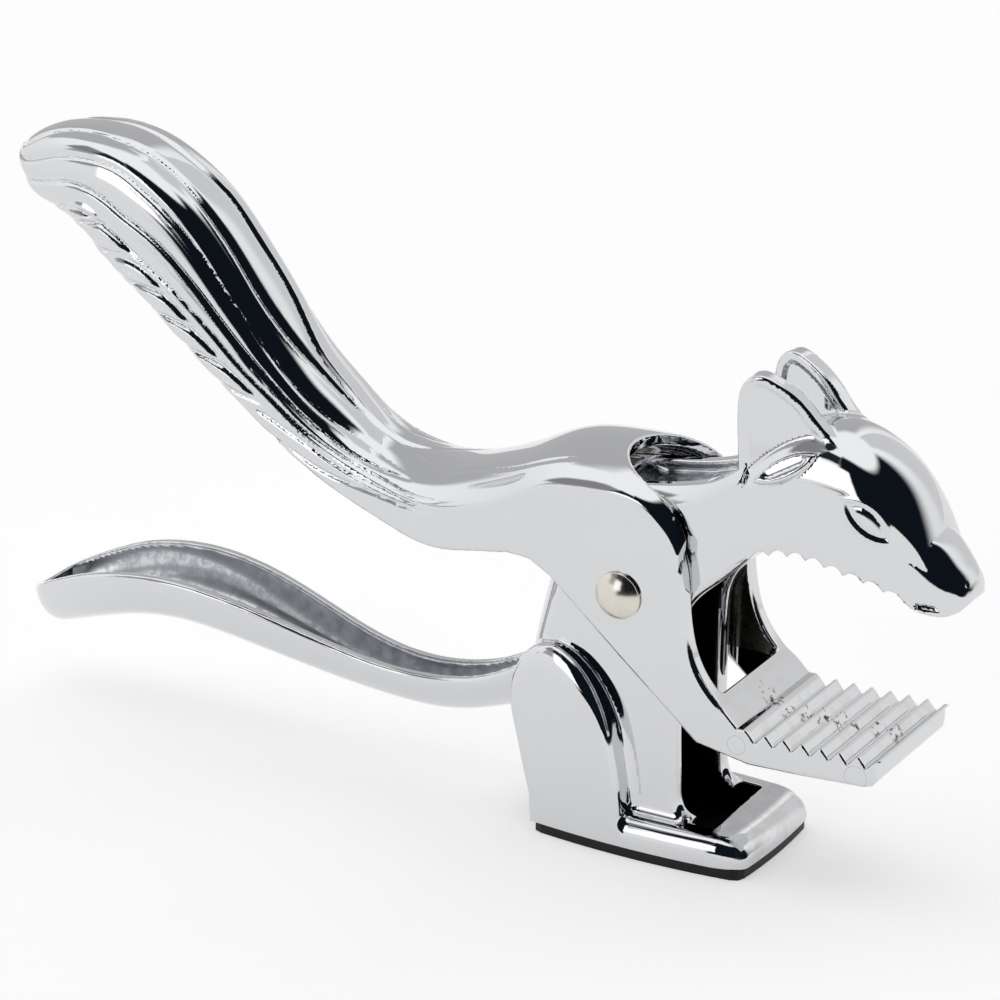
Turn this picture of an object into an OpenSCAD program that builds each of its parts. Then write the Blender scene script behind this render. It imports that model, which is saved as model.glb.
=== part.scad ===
// Lever nutcracker press in the form of a squirrel, cast in two pieces.
// The body casting stands on its foot and carries the head, whose toothed
// underside is the fixed jaw. The lever casting straddles the body on a
// rivet: its tail is the upper handle and its ribbed plate the moving jaw.
// X runs forward to the nose, Y to the far side, Z up. The origin is the
// centre of the sole's underside. All sizes are millimetres.

/* [Overall] */
// Length from the tip of the tail to the nose
overall_l = 202; // [197:1:207]
// Height from the table to the crown of the tail
overall_h = 117; // [114:1:120]

/* [Widths] */
// Width across the cheeks, the jaw plate and the foot
body_w = 29; // [28:0.5:31]
// Thickness of each cheek of the lever
cheek_t = 3.5; // [3:0.25:4]
// Running gap between a cheek and the side of the body
side_gap = 0.3; // [0.2:0.05:0.5]
// Thickness of the body's side walls
torso_wall = 3.5; // [2.5:0.25:4]

/* [Pivot] */
// Diameter of the rivet's shank
rivet_d = 6; // [5:0.5:6.5]
// Radial clearance of the shank in its bores
rivet_clear = 0.05; // [0.02:0.01:0.1]
// Diameter of the domed rivet heads
rivet_head_d = 9; // [8.5:0.5:10]
// Height of the domed rivet heads
rivet_head_h = 2.2; // [1.6:0.1:2.6]
// Gap between a rivet head and its cheek
rivet_end_gap = 0.08; // [0.05:0.01:0.15]
// Distance of the pivot in front of the sole's centre
pivot_x = -3.5; // [-4.5:0.5:-2.5]
// Height of the pivot over the table
pivot_z = 51.5; // [50.5:0.5:52.5]

/* [Jaws] */
// Distance from one ridge to the next, on both jaws
ridge_pitch = 3.7; // [3.5:0.1:3.8]
// Depth of the V grooves between the ridges of the moving jaw
ridge_depth = 1.9; // [1.2:0.1:2.2]
// Number of V grooves in the moving jaw
ridge_count = 7; // [5:1:7]
// Depth of the scallops under the head
tooth_depth = 1.2; // [0.8:0.1:1.4]
// Number of scallops under the head
tooth_count = 8; // [6:1:8]

/* [Foot] */
// Length of the foot
foot_l = 44.4; // [43:0.2:46]
// Height of the foot's top over its underside
foot_h = 5.5; // [4.5:0.5:6]
// Radius of the foot's corners, seen from above
foot_corner = 2; // [1:0.5:5]
// How far the foot's long sides bulge out in the middle
foot_bulge = 1.2; // [0.5:0.1:1.6]
// Front end of the opening in the foot's top
pit_front = 14; // [12:0.5:15]
// Thickness of the rubber sole
sole_t = 2; // [1.5:0.25:3]
// How far the sole's edge stays inside the foot's
sole_inset = 0.5; // [0.3:0.1:1.4]

/* [Handles] */
// Wall of the hollow tail
tail_wall = 2.6; // [2:0.2:3]
// Wall of the lower handle's channel
handle_wall = 2.2; // [1.8:0.2:2.6]

/* [Face] */
// Depth of the engraved eyes, nostrils and mouth
carve_depth = 0.6; // [0.3:0.1:1]
// Thickness of each ear
ear_t = 3.5; // [3:0.25:4]

/* [Hidden] */
$fn = 48;
// The side view is drawn for a press 202 long and 117 high, and stretched
// to the overall sizes.
kx = overall_l / 202;
kz = overall_h / 117;
function fit(list) = [for (p = list) [p[0] * kx, p[1] * kz]];
hw = body_w / 2;
cheek_in = hw - cheek_t;
torso_hw = cheek_in - side_gap;
cavity_hw = torso_hw - torso_wall;
notch_r = cheek_in + 0.05;
bore_r = rivet_d / 2 + rivet_clear;
pin_x = pivot_x * kx;
pin_z = pivot_z * kz;
deck_z = sole_t + foot_h;
// Crest of the first ridge, and the front end of the ribbed plate
ridge_x0 = 22.6 * kx;
ridge_z0 = 30.8 * kz;
plate_front = ridge_x0 + ridge_count * ridge_pitch;
// Foremost scallop under the head
tooth_x0 = 48.5 * kx;
// Height from which the saddle's notch goes up
notch_z = 55 * kz;
// Cutting blocks are as tall as the press, so they always pass through
through = overall_h;
// Centre of an eye in the side view, the radius of its two arcs and their
// distance from the centre
EYE_AT = [43.1 * kx, 73.8 * kz];
eye_arc = 7.4;
eye_off = 4.6;
nostril_d = 1.6;
NOSTRIL_AT = [59.6 * kx, 62.3 * kz];
nostril_y = 3;
// How far the parts of the body overlap inside one another
bite = 1;
// Plan radius of the torso's rear corners
rear_r = 8;
eps = 0.01;

// Tail and saddle: [crown x, crown z, lower edge x, lower edge z,
// half width as a share of hw, height of the flat side as a share].
TAIL = [for (s = [
    [8.4, 66.4, 8, 57, 0.99, 0.32], [6.6, 71, 6.2, 57.4, 0.99, 0.4], [4, 73.4, 3.4, 58.6, 0.99, 0.48],
    [1, 74.6, 0.2, 61, 0.99, 0.5], [-5, 75.6, -6, 64, 0.99, 0.45], [-14, 75.6, -13, 62, 0.99, 0.55],
    [-22, 74.3, -20, 58, 0.99, 0.6], [-29, 71, -26, 55, 0.99, 0.6],
    [-37, 67.5, -33, 53.6, 0.985, 0.55], [-45, 65.2, -43.5, 52.2, 0.965, 0.5],
    [-53, 65, -54, 54.5, 0.9, 0.4], [-62, 67.6, -66.5, 59, 0.84, 0.3],
    [-70.5, 74, -78, 65.8, 0.83, 0.3], [-77, 80, -86.5, 72, 0.83, 0.35],
    [-83, 88.2, -95.6, 79, 0.83, 0.4], [-91.5, 99.7, -106.5, 88, 0.83, 0.45],
    [-98.2, 107.2, -112, 92.2, 0.83, 0.45], [-106, 112.7, -115.7, 95.3, 0.83, 0.45],
    [-114.5, 116.2, -119.6, 99, 0.82, 0.45], [-122, 117.1, -122.5, 101, 0.8, 0.4],
    [-129, 116.5, -126, 102.4, 0.75, 0.35], [-134.5, 114.8, -131, 103.8, 0.66, 0.3],
    [-139.2, 111.6, -135.6, 106, 0.46, 0.25], [-141, 109.6, -138.4, 107.8, 0.16, 0.2]
]) [s[0] * kx, s[1] * kz, s[2] * kx, s[3] * kz, s[4], s[5]]];
// The tail is solid past this station of the smoothed list.
TAIL_END = 60;
// Rear end of the rounded notch in the front of the saddle
SADDLE_REAR = -7.5 * kx;

// Lower handle: [x, rim z, bottom z, half width at the rim].
HANDLE = [for (s = [
    [-20, 34, 19, 9], [-25, 31.5, 19.5, 8.4], [-31, 27.8, 18.6, 7.2],
    [-38, 24.2, 16.2, 6.2], [-48, 21.8, 13.9, 5.4], [-58, 21.6, 13.8, 5.5],
    [-68, 23.3, 14.7, 6.3], [-80, 26.6, 16.5, 7.9], [-92, 29.6, 18.5, 9.4],
    [-104, 31, 19.8, 10.3], [-114, 30.4, 19, 10.6], [-124, 28, 16.4, 10.2],
    [-132, 24.6, 13.8, 8.6], [-138, 21.4, 14, 5.6], [-141, 19.4, 17.2, 2]
]) [s[0] * kx, s[1] * kz, s[2] * kz, s[3]]];
// First and last smoothed stations of the handle's open channel
HANDLE_FROM = 7;
HANDLE_TO = 38;

// Front edge of the cheeks, from the saddle down to the jaw plate
CHEEK_FRONT = fit([
    [-3, 69], [0.5, 68.8], [3.4, 67.6], [5.9, 65.2], [7.7, 62.2], [8.9, 58.4], [9.5, 53.5],
    [10.2, 46.9], [11.7, 41.4], [14.4, 37], [17.4, 34]
]);
// Rear edge of the cheeks, from the jaw plate up to the belly and the flank
CHEEK_REAR = fit([
    [-3.1, 39], [-18.1, 52], [-22.4, 54.4], [-28, 54.8], [-31, 57.5], [-27.5, 62.6],
    [-23.9, 64.8], [-16.7, 67.6], [-7.4, 68.8]
]);
// Underside of the jaw plate, from its front to its rear end
JAW_UNDER = concat([[plate_front - 0.1, 27 * kz], [plate_front - 2.3, 25 * kz]],
    fit([[34, 24.2], [23, 23.9], [12.5, 25.8]]));
// Rear face of the plate between the cheeks, drawn past its edges
PLATE_REAR = fit([[17.6, 38.4], [15.2, 34], [13.4, 22]]);
// The rest of the space between the cheeks, far past them
BEHIND = fit([[-60, 22], [-60, 90], [17.6, 90]]);

// Upper outline of the torso and neck, from the rear up and forward
NECK_TOP = fit([
    [-27, 8], [-27, 28], [-25.8, 36], [-22.8, 48.5], [-20.6, 57], [-16, 64.6],
    [-8.5, 69.8], [0, 71.4], [8, 73.2], [13, 75.2], [19, 79.5]
]);
// Lower outline, from the head back and down the front of the torso
NECK_UNDER = fit([
    [21, 62.4], [14, 55.5], [9.4, 51], [7.4, 47], [6.8, 42], [6.8, 14], [7.6, 9.5], [9.5, 7]
]);
// Rearmost plane of the torso's plan
TORSO_BACK = -26.8 * kx;
TORSO_FRONT = 23.2 * kx;
// Rounded shoulders along the top of the neck: [x, flat side z, crown z]
SHOULDERS = [for (s = [
    [-28, 58, 67], [-12, 63, 73], [0, 65.2, 74], [7.7, 67.5, 75.8], [13.7, 71.2, 79], [19.5, 75.4, 83]
]) [s[0] * kx, s[1] * kz, s[2] * kz]];
// Head: [x, underside z, top of the flat side z, crown z, half width share]
HEAD = [for (s = [
    [16, 60, 72.5, 77.5, 0.995], [20, 63.6, 75.5, 81.5, 0.995], [25, 65.2, 78, 85.3, 0.995],
    [30, 65.8, 79, 87.3, 0.995], [35, 65.6, 78.9, 87.4, 0.995], [40, 64.8, 78.2, 85.8, 0.98],
    [45, 63.4, 76.6, 82.8, 0.93], [49, 60.4, 74, 79, 0.84], [52, 57.8, 70.4, 74.2, 0.74],
    [54.5, 57.1, 66.6, 69.4, 0.65], [57.5, 57.4, 63.6, 65.8, 0.54], [59.8, 58.6, 61.6, 62.8, 0.38],
    [61, 59.8, 60.6, 61.3, 0.16]
]) [s[0] * kx, s[1] * kz, s[2] * kz, s[3] * kz, s[4]]];
// Plan of the toothed underside: [x, half width share]
TOOTH_PLAN = [for (s = [[15, 0.985], [43, 0.955], [48.5, 0.83], [52, 0.7]]) [s[0] * kx, s[1]]];
// Side view of the toothed underside, buried in the head at its top
TOOTH_SIDE = fit([
    [19.6, 61.8], [22, 62.6], [26, 63.7], [30, 64.1], [34, 63.9], [38, 63.1], [42, 62.2],
    [46, 61], [49.8, 58.8], [52, 60], [51, 66], [44, 70], [19.6, 70]
]);
// Hollow of the torso, open to the front and up into the neck
HOLLOW = concat(
    [[30 * kx, deck_z - bite], [-21.5 * kx, deck_z - bite]],
    fit([[-21.5, 34], [-17.5, 52], [-12, 60], [-5, 64.5], [6, 66.5], [14, 67.5], [18, 66], [22, 62],
        [30, 40]]));
// Rough channel along the top of the neck
CHANNEL = fit([[-12, 80], [-10, 69.8], [-4, 68.8], [6, 70.5], [14, 73.2], [17.6, 76], [17.6, 90]]);
EAR = fit([
    [17.6, 74], [17.3, 84], [17.4, 91.6], [18.6, 95.4], [21.2, 97.4], [24, 96.2],
    [28.6, 92.6], [32.6, 87.6], [35, 84], [34, 79], [26, 77]
]);
// Outline of a thigh where it leaves the side of the torso
THIGH = fit([
    [-2, 4], [-2.4, 10], [-3.4, 17], [-5.6, 25.5], [-9.4, 32.2], [-13.8, 36.3], [-18.5, 37.9],
    [-22.6, 36.4], [-25.6, 32.5], [-26.8, 27], [-25.7, 20], [-23.9, 12], [-21.8, 4]
]);
// Outline of the thigh's flat side, point for point
THIGH_FLAT = fit([
    [-3.2, 4], [-3.4, 10], [-4.2, 17], [-6.6, 24.6], [-9.8, 29.4], [-13.6, 31.8], [-17.6, 32.5],
    [-21, 32.4], [-23.4, 31], [-25.2, 26.5], [-25.2, 20], [-23.7, 12], [-21.7, 4]
]);

// Point of a smooth curve through p1 and p2, at t from 0 to 1
function blend4(p0, p1, p2, p3, t) = 0.5 * (
    2 * p1 + (p2 - p0) * t + (2 * p0 - 5 * p1 + 4 * p2 - p3) * t * t
    + (3 * p1 - p0 - 3 * p2 + p3) * t * t * t);

// Smooth curve through a list of points, n steps from one to the next
function smooth(p, n) = let (last = len(p) - 1) concat(
    [for (i = [0:last - 1], k = [0:n - 1]) blend4(
        i == 0 ? 2 * p[0] - p[1] : p[i - 1], p[i], p[i + 1],
        i == last - 1 ? 2 * p[last] - p[last - 1] : p[i + 2], k / n)],
    [p[last]]);

// Flat parts of the side view, thick from y0 to y1
module slab(y0, y1) {
    translate([0, y1, 0]) rotate([90, 0, 0]) linear_extrude(y1 - y0) children();
}

module both_sides() {
    children();
    mirror([0, 1, 0]) children();
}

// Closed skin through equal rings of points. A trough is a ring that runs
// along the outside and back along the inside with as many points.
module loft(rings, trough = false) {
    n = len(rings[0]);
    m = len(rings);
    far = (m - 1) * n;
    sides = [for (i = [0:m - 2], k = [0:n - 1]) let (j = (k + 1) % n, a = i * n, b = a + n)
        each [[a + k, a + j, b + j], [a + k, b + j, b + k]]];
    strip = [for (k = [0:n / 2 - 2]) let (p = n - 2 - k, q = n - 1 - k)
        each [[q, p, k + 1], [q, k + 1, k], [far + k, far + k + 1, far + p], [far + k, far + p, far + q]]];
    fan = [for (k = [1:n - 2]) each [[0, k + 1, k], [far, far + k, far + k + 1]]];
    polyhedron([for (r = rings, p = r) p], concat(sides, trough ? strip : fan), convexity = 6);
}

// Half of an oval arch from -r to r, as [y, height over the flat side]
function arch(r, h, n) = [for (k = [0:n]) let (a = 180 * k / n) [-r * cos(a), h * sin(a)]];

// One ring of the tail: the arched outside, then back along the hollow
function tail_ring(s, hollow) = let (
    low = [s[2], s[3]], up = [s[0] - s[2], s[1] - s[3]], depth = norm(up), dir = up / depth,
    r = s[4] * hw, side = s[5] * depth, top = depth - side,
    ri = max(r - tail_wall, 0.3 * r), cut = hollow ? 1 : 0.02,
    out = concat([[-r, 0]], [for (q = arch(r, top, 12)) [q[0], side + q[1]]], [[r, 0]]),
    in = concat([[-ri, 0]], [for (q = arch(ri, max(top - tail_wall, 0.3 * top), 12))
        [q[0], cut * (side + q[1])]], [[ri, 0]]),
    ring = concat(in, [for (k = [len(out) - 1:-1:0]) out[k]]))
    [for (q = ring) [low[0] + dir[0] * q[1], q[0], low[1] + dir[1] * q[1]]];

// One ring of the lower handle: the rounded outside, then the channel
function handle_ring(s, hollow) = let (
    r = s[3], depth = s[1] - s[2], cut = hollow ? 1 : 0.02,
    ri = max(r - handle_wall, 0.35 * r),
    out = [for (q = arch(r, depth, 12)) [q[0], -q[1]]],
    in = [for (q = arch(ri, max(depth - handle_wall, 0.3 * depth), 12)) [q[0], -cut * q[1] - eps]],
    ring = concat(out, [for (k = [len(in) - 1:-1:0]) in[k]]))
    [for (q = ring) [s[0], q[0], s[1] + q[1]]];

// One ring of the head: flat underside, flat sides, arched crown
function head_ring(s) = let (r = s[4] * torso_hw)
    concat([[s[0], -r, s[1]]], [for (q = arch(r, s[3] - s[2], 12)) [s[0], q[0], s[2] + q[1]]],
        [[s[0], r, s[1]]]);

// Thigh: rounded over from its root to its flat side
function thigh_ring(a, root, flat) = let (
    t = 1 - cos(a), y = torso_hw - bite + (hw + foot_bulge - torso_hw + 0.95 * bite) * sin(a))
    [for (k = [0:len(root) - 1]) let (q = root[k] * (1 - t) + flat[k] * t) [q[0], y, q[1]]];

// Top of the moving jaw: a flat first ridge, then even V grooves
function ridges() = concat([[ridge_x0 - 1.8, ridge_z0]],
    [for (i = [0:ridge_count - 1], p = [[0, 0], [0.5, -1]])
        [ridge_x0 + (i + p[0]) * ridge_pitch, ridge_z0 - 0.7 + 0.1 * i + ridge_depth * p[1]]],
    [[plate_front - 0.2, ridge_z0], [plate_front, ridge_z0 - 0.5]]);

// Side view of a cheek and the jaw plate in one
module lever_outline() {
    polygon(concat(smooth(CHEEK_FRONT, 4), ridges(), JAW_UNDER, CHEEK_REAR));
}

// Space between the cheeks, behind the plate
module throat() {
    slab(-cheek_in, cheek_in) polygon(concat(PLATE_REAR, BEHIND));
}

module pivot_bore(r, half_l) {
    translate([pin_x, half_l, pin_z]) rotate([90, 0, 0]) cylinder(r = r, h = 2 * half_l);
}

module tail_shell() {
    line = smooth(TAIL, 3);
    difference() {
        loft([for (i = [0:len(line) - 1]) tail_ring(line[i], i < TAIL_END)], true);
        translate([SADDLE_REAR + notch_r, 0, notch_z]) {
            cylinder(r = notch_r, h = through);
            translate([0, -notch_r, 0]) cube([2 * notch_r, 2 * notch_r, through]);
        }
    }
}

module tail_lever() {
    color("silver") difference() {
        union() {
            tail_shell();
            difference() {
                slab(-hw, hw) lever_outline();
                throat();
            }
        }
        pivot_bore(bore_r, hw + 1);
    }
}

module torso_neck() {
    intersection() {
        slab(-torso_hw, torso_hw) polygon(concat(smooth(NECK_TOP, 3), smooth(NECK_UNDER, 3),
            [[20 * kx, deck_z - 2 * bite], [-27 * kx, deck_z - 2 * bite]]));
        union() {
            translate([TORSO_BACK + rear_r, -torso_hw, 0])
                cube([TORSO_FRONT - TORSO_BACK - rear_r, 2 * torso_hw, through]);
            both_sides() translate([TORSO_BACK + rear_r, torso_hw - rear_r, 0])
                cylinder(r = rear_r, h = through);
            translate([TORSO_BACK, rear_r - torso_hw, 0])
                cube([2 * rear_r, 2 * (torso_hw - rear_r), through]);
        }
        loft([for (s = smooth(SHOULDERS, 2)) head_ring([s[0], 0, s[1], s[2], 1.002])]);
    }
}

module torso_hollow() {
    slab(-cavity_hw, cavity_hw) polygon(HOLLOW);
}

module neck_channel() {
    slab(5.2 - torso_hw, torso_hw - 5.2 + eps) polygon(CHANNEL);
}

module handle() {
    line = smooth(HANDLE, 3);
    loft([for (i = [0:len(line) - 1]) handle_ring(line[i], i >= HANDLE_FROM && i <= HANDLE_TO)], true);
}

module head() {
    loft([for (s = smooth(HEAD, 2)) head_ring(s)]);
    // Each ear turns in towards the crown as it comes forward.
    both_sides() translate([EAR[0][0], torso_hw - 1.5 - ear_t, 0]) rotate([0, 0, -9])
        slab(0, ear_t) translate([-EAR[0][0], 0]) polygon(smooth(EAR, 3));
}

// Scalloped underside of the head: one arc for each tooth gap
module teeth() {
    intersection() {
        slab(-torso_hw, torso_hw) difference() {
            polygon(TOOTH_SIDE);
            for (i = [0:tooth_count - 1]) let (x = tooth_x0 - i * ridge_pitch)
                translate([x, kz * (65 - 0.0115 * pow(x / kx - 31, 2)) - tooth_depth])
                    circle(r = tooth_depth, $fn = 24);
        }
        linear_extrude(through) polygon([for (side = [1, -1],
            q = side == 1 ? TOOTH_PLAN : [for (k = [3:-1:0]) TOOTH_PLAN[k]])
            [q[0], side * q[1] * torso_hw]]);
    }
}

module thigh() {
    root = smooth(THIGH, 3);
    flat = smooth(THIGH_FLAT, 3);
    loft([for (a = [0, 22, 44, 66, 90]) thigh_ring(a, root, flat)]);
}

// Plan of the foot: round corners, bulging sides and a slightly bowed front
function foot_edge(l, w, r) = concat(
    [for (k = [-8:8]) let (t = k / 8) [t * (l / 2 - r), -w / 2 - foot_bulge * (1 - t * t)]],
    [[l / 2 - 0.3 * r, 0.3 * r - w / 2]],
    [for (k = [-4:4]) let (t = k / 4) [l / 2 + foot_bulge * (1 - t * t) / 2, t * (w / 2 - r)]],
    [[l / 2 - 0.3 * r, w / 2 - 0.3 * r]],
    [for (k = [8:-1:-8]) let (t = k / 8) [t * (l / 2 - r), w / 2 + foot_bulge * (1 - t * t)]],
    [[0.3 * r - l / 2, w / 2 - 0.3 * r], [-l / 2, w / 2 - r], [-l / 2, r - w / 2],
        [0.3 * r - l / 2, 0.3 * r - w / 2]]);

module foot_block() {
    wide = hw + 2 * foot_bulge;
    front = foot_l / 2;
    intersection() {
        translate([-front, -wide, sole_t]) cube([foot_l + 2 * bite, 2 * wide, foot_h]);
        slab(-wide, wide) polygon([
            [-front, sole_t], [front + 1.1, sole_t], [front + 0.6, sole_t + 2],
            [front - 1, sole_t + 3.7], [front - 4, deck_z - 0.3], [front - 7, deck_z],
            [-front, deck_z]]);
        translate([-front, 0, 0]) rotate([90, 0, 90]) linear_extrude(foot_l + 2 * bite) polygon([
            [-wide, 0], [wide, 0], [wide, deck_z - 4], [hw, deck_z - 2.6], [hw - 2, deck_z - 1.1],
            [hw - 4, deck_z], [4 - hw, deck_z], [2 - hw, deck_z - 1.1], [-hw, deck_z - 2.6],
            [-wide, deck_z - 4]]);
    }
}

// Foot and thighs, trimmed to the plan of the foot
module foot_and_thighs() {
    intersection() {
        union() {
            foot_block();
            both_sides() thigh();
        }
        translate([0, 0, sole_t - eps]) linear_extrude(through) polygon(concat(
            [for (q = foot_edge(foot_l, body_w, foot_corner)) q[0] < -foot_l / 2 + foot_corner
                ? [q[0] - 6 * bite, q[1]] : q]));
    }
}

// Opening in the foot's top: as wide as the torso's hollow between its
// walls, wider in front of them, and down to the sole
module foot_pit() {
    in = cavity_hw + 0.05;
    out = torso_hw - 0.3;
    wall = NECK_UNDER[7][0] + 0.1;
    translate([0, 0, sole_t - bite]) linear_extrude(foot_h + 1.5 * bite) polygon([
        [-18 * kx, -in], [wall, -in], [wall, -out], [pit_front - bite, -out], [pit_front, bite - out],
        [pit_front, out - bite], [pit_front - bite, out], [wall, out], [wall, in], [-18 * kx, in]]);
}

// Almond eye as the overlap of two discs, cut into the flat side
module eye() {
    translate(EYE_AT) rotate(-37) intersection() {
        translate([0, -eye_off]) circle(r = eye_arc);
        translate([0, eye_off]) circle(r = eye_arc);
    }
}

module face_carving() {
    both_sides() {
        slab(torso_hw * 0.97 - carve_depth, hw) difference() {
            eye();
            translate(EYE_AT) scale(0.72) translate(-EYE_AT) eye();
        }
        translate([NOSTRIL_AT[0], nostril_y, NOSTRIL_AT[1]]) rotate([0, 45, 40])
            translate([0, 0, -carve_depth]) cylinder(d = nostril_d, h = 2 * (carve_depth + nostril_d));
    }
}

module body_casting() {
    color("gainsboro") difference() {
        union() {
            difference() {
                union() {
                    torso_neck();
                    handle();
                }
                torso_hollow();
                neck_channel();
            }
            head();
            teeth();
            foot_and_thighs();
        }
        foot_pit();
        face_carving();
        pivot_bore(bore_r, hw + 1);
    }
}

// Low dome on a thin rim
module rivet_head() {
    rim = 0.5;
    edge = rivet_head_d / 2 - 0.1;
    dome = rivet_head_h - rim;
    ball = (edge * edge + dome * dome) / (2 * dome);
    cylinder(d = rivet_head_d, h = rim);
    intersection() {
        translate([0, 0, rivet_head_h - ball]) sphere(r = ball, $fn = 96);
        translate([0, 0, rim - eps]) cylinder(d = rivet_head_d, h = rivet_head_h);
    }
}

// Rivet through both castings, a domed head at each end
module pivot_rivet() {
    seat = hw + rivet_end_gap;
    color("tan") translate([pin_x, 0, pin_z]) rotate([90, 0, 0]) {
        translate([0, 0, -seat - 0.2]) cylinder(d = rivet_d, h = 2 * seat + 0.4);
        for (side = [0, 180]) rotate([side, 0, 0]) translate([0, 0, seat]) rivet_head();
    }
}

// Rubber sole under the foot
module foot_sole() {
    color("black") linear_extrude(sole_t)
        polygon(foot_edge(foot_l - 2 * sole_inset, body_w - 2 * sole_inset, foot_corner));
}

body_casting();
tail_lever();
pivot_rivet();
foot_sole();
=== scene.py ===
import math

import bpy
import numpy as np
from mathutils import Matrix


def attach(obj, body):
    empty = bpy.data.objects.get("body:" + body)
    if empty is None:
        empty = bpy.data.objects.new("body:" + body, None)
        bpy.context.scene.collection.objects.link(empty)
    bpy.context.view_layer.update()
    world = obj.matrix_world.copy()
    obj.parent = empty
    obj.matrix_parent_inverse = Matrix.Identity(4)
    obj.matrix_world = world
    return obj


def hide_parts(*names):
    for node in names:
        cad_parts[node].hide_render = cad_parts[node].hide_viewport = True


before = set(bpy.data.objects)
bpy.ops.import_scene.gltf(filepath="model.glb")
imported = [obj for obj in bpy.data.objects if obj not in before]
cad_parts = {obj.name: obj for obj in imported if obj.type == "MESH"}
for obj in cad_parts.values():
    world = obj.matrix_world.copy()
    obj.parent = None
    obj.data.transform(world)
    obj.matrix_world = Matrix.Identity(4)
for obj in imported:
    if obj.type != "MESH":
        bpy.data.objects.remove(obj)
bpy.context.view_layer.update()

# The two castings are implicit shapes: functions of x, y, z in millimetres, under zero inside and
# the same on both sides of y = 0. Sizes that the CAD has too are the CAD's.
HW = 14.5  # half width over the cheeks and the foot
CHEEK_IN = 11.0  # a cheek's inner face
TORSO_HW = 10.7  # half width of torso, neck and head
CAV_HW = 7.2  # half width of the room inside the torso
PIVOT = (-3.5, 51.5)  # x and z of the rivet
BORE_R, BORE_EDGE = 3.05, 0.3  # the rivet's bore in both castings
X0, X1, Z0, Z1 = -147.0, 68.0, -3.0, 123.0  # side view that the fields cover
MM = 0.001
FAR, TINY = 1e9, 1e-12  # beyond every distance, and what keeps a division off zero


# ---- smooth curves and blends ----
def spline(points, u=None):
    """Natural cubic spline through the rows of points, by chord length unless knots are given."""
    p = np.asarray(points, float)
    if u is None:
        u = np.concatenate([[0], np.cumsum(np.hypot(*np.diff(p[:, :2], axis=0).T))])
    u = np.asarray(u, float)
    h = np.diff(u)
    n = len(u)
    a = np.eye(n)
    b = np.zeros_like(p)
    for i in range(1, n - 1):
        a[i, i - 1:i + 2] = h[i - 1], 2 * (h[i - 1] + h[i]), h[i]
        b[i] = 6 * ((p[i + 1] - p[i]) / h[i] - (p[i] - p[i - 1]) / h[i - 1])
    m = np.linalg.solve(a, b)

    def at(t):
        t = np.clip(t, u[0], u[-1])
        i = np.clip(np.searchsorted(u, t, side="right") - 1, 0, n - 2)
        d = h[i][..., None]
        r = ((t - u[i]) / h[i])[..., None]
        s = 1 - r
        return (s * p[i] + r * p[i + 1]
                + d * d / 6 * ((s ** 3 - s) * m[i] + (r ** 3 - r) * m[i + 1]))

    at.u = u
    return at


def curve(points, n):
    """n points along the spline through points."""
    at = spline(points)
    return at(np.linspace(at.u[0], at.u[-1], n))


def ease(x, a, b):
    """0 at a, 1 at b, smooth between and flat beyond."""
    t = np.clip((x - a) / (b - a), 0, 1)
    return t * t * (3 - 2 * t)


def rmax(a, b, r):
    """Intersection with a round edge of radius r."""
    deep = np.minimum(np.maximum(a, b), -r)
    return deep + np.hypot(np.maximum(a + r, 0), np.maximum(b + r, 0))


def rmin(a, b, r):
    """Union with a round fillet of radius r."""
    return -rmax(-a, -b, r)


def cut(a, b, r):
    """a with b taken away and the edge rounded."""
    return rmax(a, -b, r)


# ---- side-view fields on a fine grid, read with a smooth filter ----
class Field:
    """Values over the side view, read with a cubic filter."""

    def __init__(self, values, step):
        self.v = values.astype(np.float32)
        self.step = step

    def __call__(self, x, z):
        nx, nz = self.v.shape
        inside = 3.001  # the filter reads two nodes past the cell
        u = np.clip((x - X0) / self.step, 1, nx - inside)
        w = np.clip((z - Z0) / self.step, 1, nz - inside)
        i = u.astype(int)
        k = w.astype(int)
        a = (u - i).astype(np.float32)
        b = (w - k).astype(np.float32)

        def taps(t):
            return (((-t + 2) * t - 1) * t / 2, ((3 * t - 5) * t * t + 2) / 2,
                    ((-3 * t + 4) * t + 1) * t / 2, (t - 1) * t * t / 2)

        ta, tb = taps(a), taps(b)
        flat = self.v.ravel()
        base = i * nz + k
        out = 0
        for p in range(4):
            row = 0
            for q in range(4):
                row = row + tb[q] * flat[base + (p - 1) * nz + (q - 1)]
            out = out + ta[p] * row
        return out.astype(np.float64)


def lattice(step):
    """Nodes of the side view."""
    x = np.arange(X0, X1 + step, step)
    z = np.arange(Z0, Z1 + step, step)
    return np.meshgrid(x, z, indexing="ij")


def outline_field(poly, step):
    """Signed distance to a closed polygon, under zero inside."""
    gx, gz = lattice(step)
    p = np.asarray(poly, float)
    q = np.roll(p, -1, axis=0)
    px, pz = gx.ravel(), gz.ravel()
    best = np.full(px.shape, FAR)
    inside = np.zeros(px.shape, bool)
    for (ax, az), (bx, bz) in zip(p, q):
        ex, ez = bx - ax, bz - az
        l2 = ex * ex + ez * ez
        if l2 < TINY:
            continue
        t = np.clip(((px - ax) * ex + (pz - az) * ez) / l2, 0, 1)
        d = (px - ax - t * ex) ** 2 + (pz - az - t * ez) ** 2
        np.minimum(best, d, out=best)
        if az != bz:
            c = (az > pz) != (bz > pz)
            xc = ax + (pz - az) * ex / ez
            inside ^= c & (px < xc)
    d = np.sqrt(best)
    d[inside] *= -1
    return Field(d.reshape(gx.shape), step)


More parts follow.
